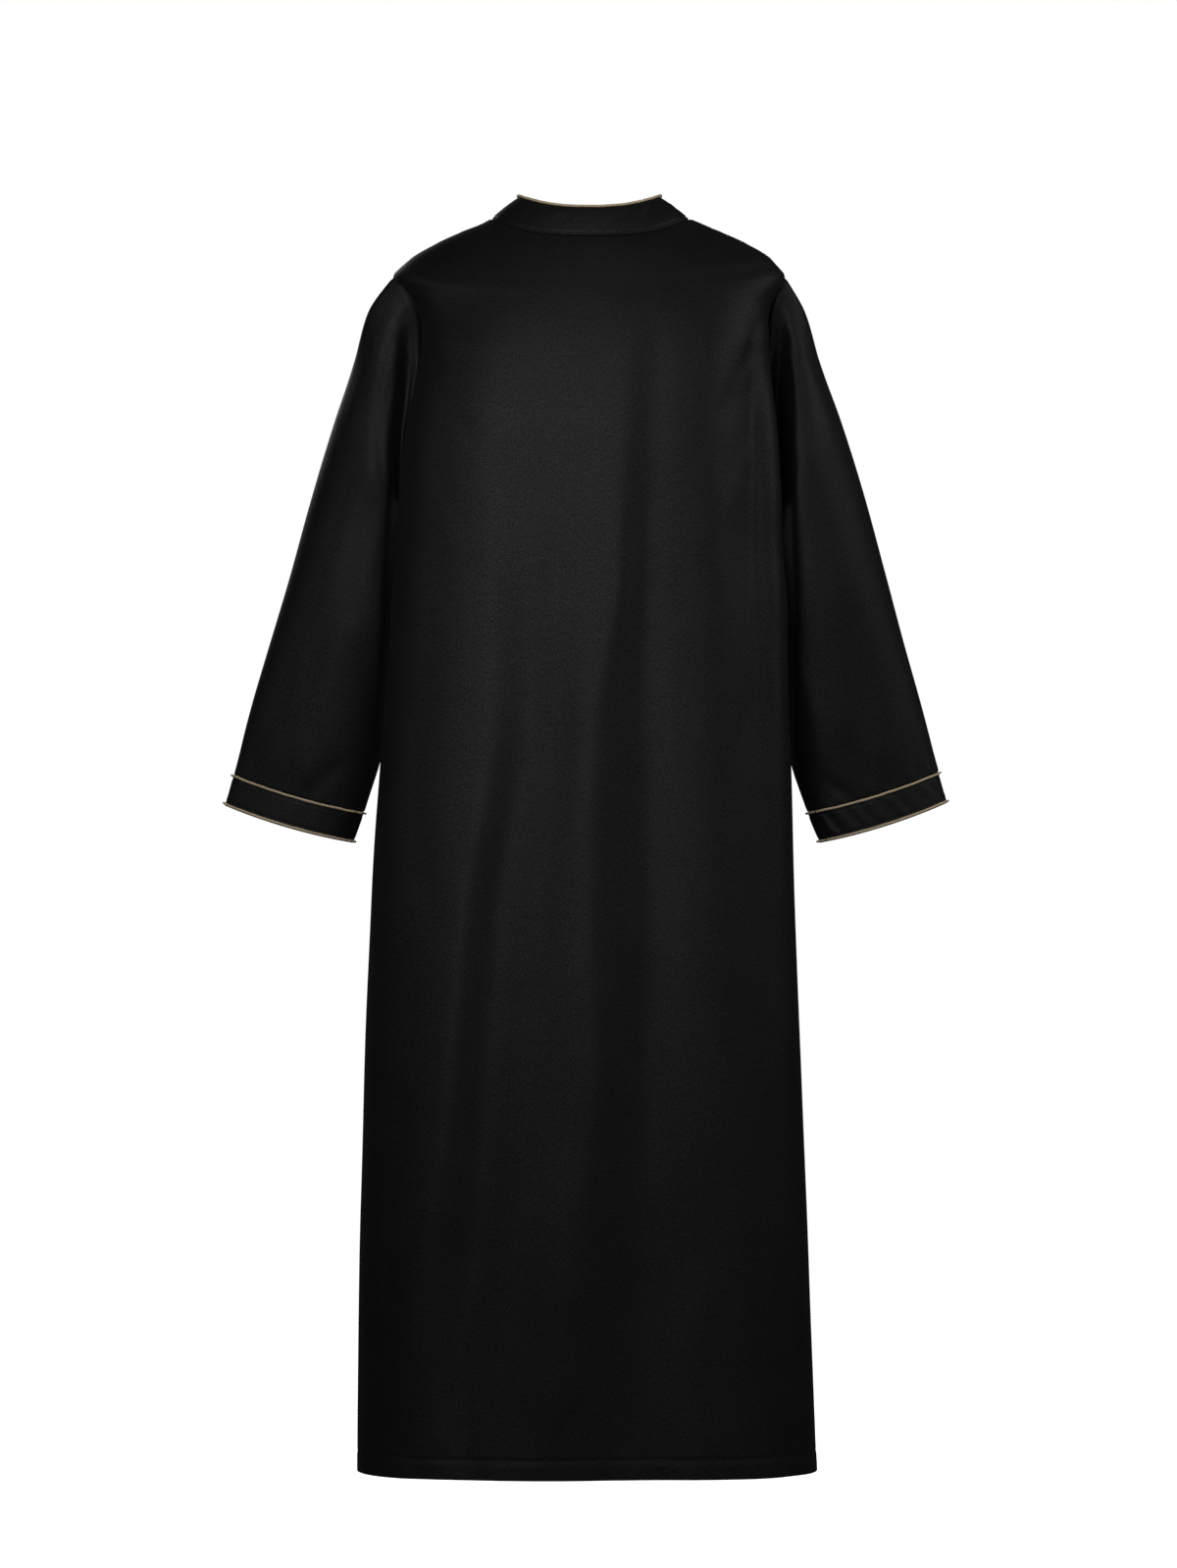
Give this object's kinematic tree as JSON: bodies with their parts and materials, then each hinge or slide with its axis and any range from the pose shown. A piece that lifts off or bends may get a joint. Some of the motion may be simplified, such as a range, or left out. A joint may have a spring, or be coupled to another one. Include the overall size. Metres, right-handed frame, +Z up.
{
  "type": "thobe",
  "caption": "Long straight thobe with a standing collar, half placket and long sleeves, gold piping on collar and cuffs; a one-piece robe in its worn hollow shape.",
  "frame": {"origin": "middle of the neck opening, level with the collar's seam at the middle of the back, where the wearer holds the garment up", "axes": "+Z up towards the collar, +X towards the garment's own left sleeve, -Y towards its front"},
  "size_m": [0.8235, 0.2776, 1.4264],
  "materials": {
    "black_twill": "matte plain weave",
    "gold_satin": "satin cord",
    "dark_button": "semi-gloss"
  },
  "bodies": {
    "root": {"back_panel": "black_twill", "front_panel": "black_twill", "placket_over": "black_twill", "placket_under": "black_twill", "sleeve_left": "black_twill", "sleeve_lower_left": "black_twill", "sleeve_right": "black_twill", "sleeve_lower_right": "black_twill", "cuff_left": "black_twill", "cuff_right": "black_twill", "collar": "black_twill", "collar_piping": "gold_satin", "cuff_piping_upper_left": "gold_satin", "cuff_piping_lower_left": "gold_satin", "cuff_piping_upper_right": "gold_satin", "cuff_piping_lower_right": "gold_satin", "button_1": "dark_button", "button_2": "dark_button", "button_3": "dark_button", "button_4": "dark_button", "button_5": "dark_button"}
  },
  "joints": []
}
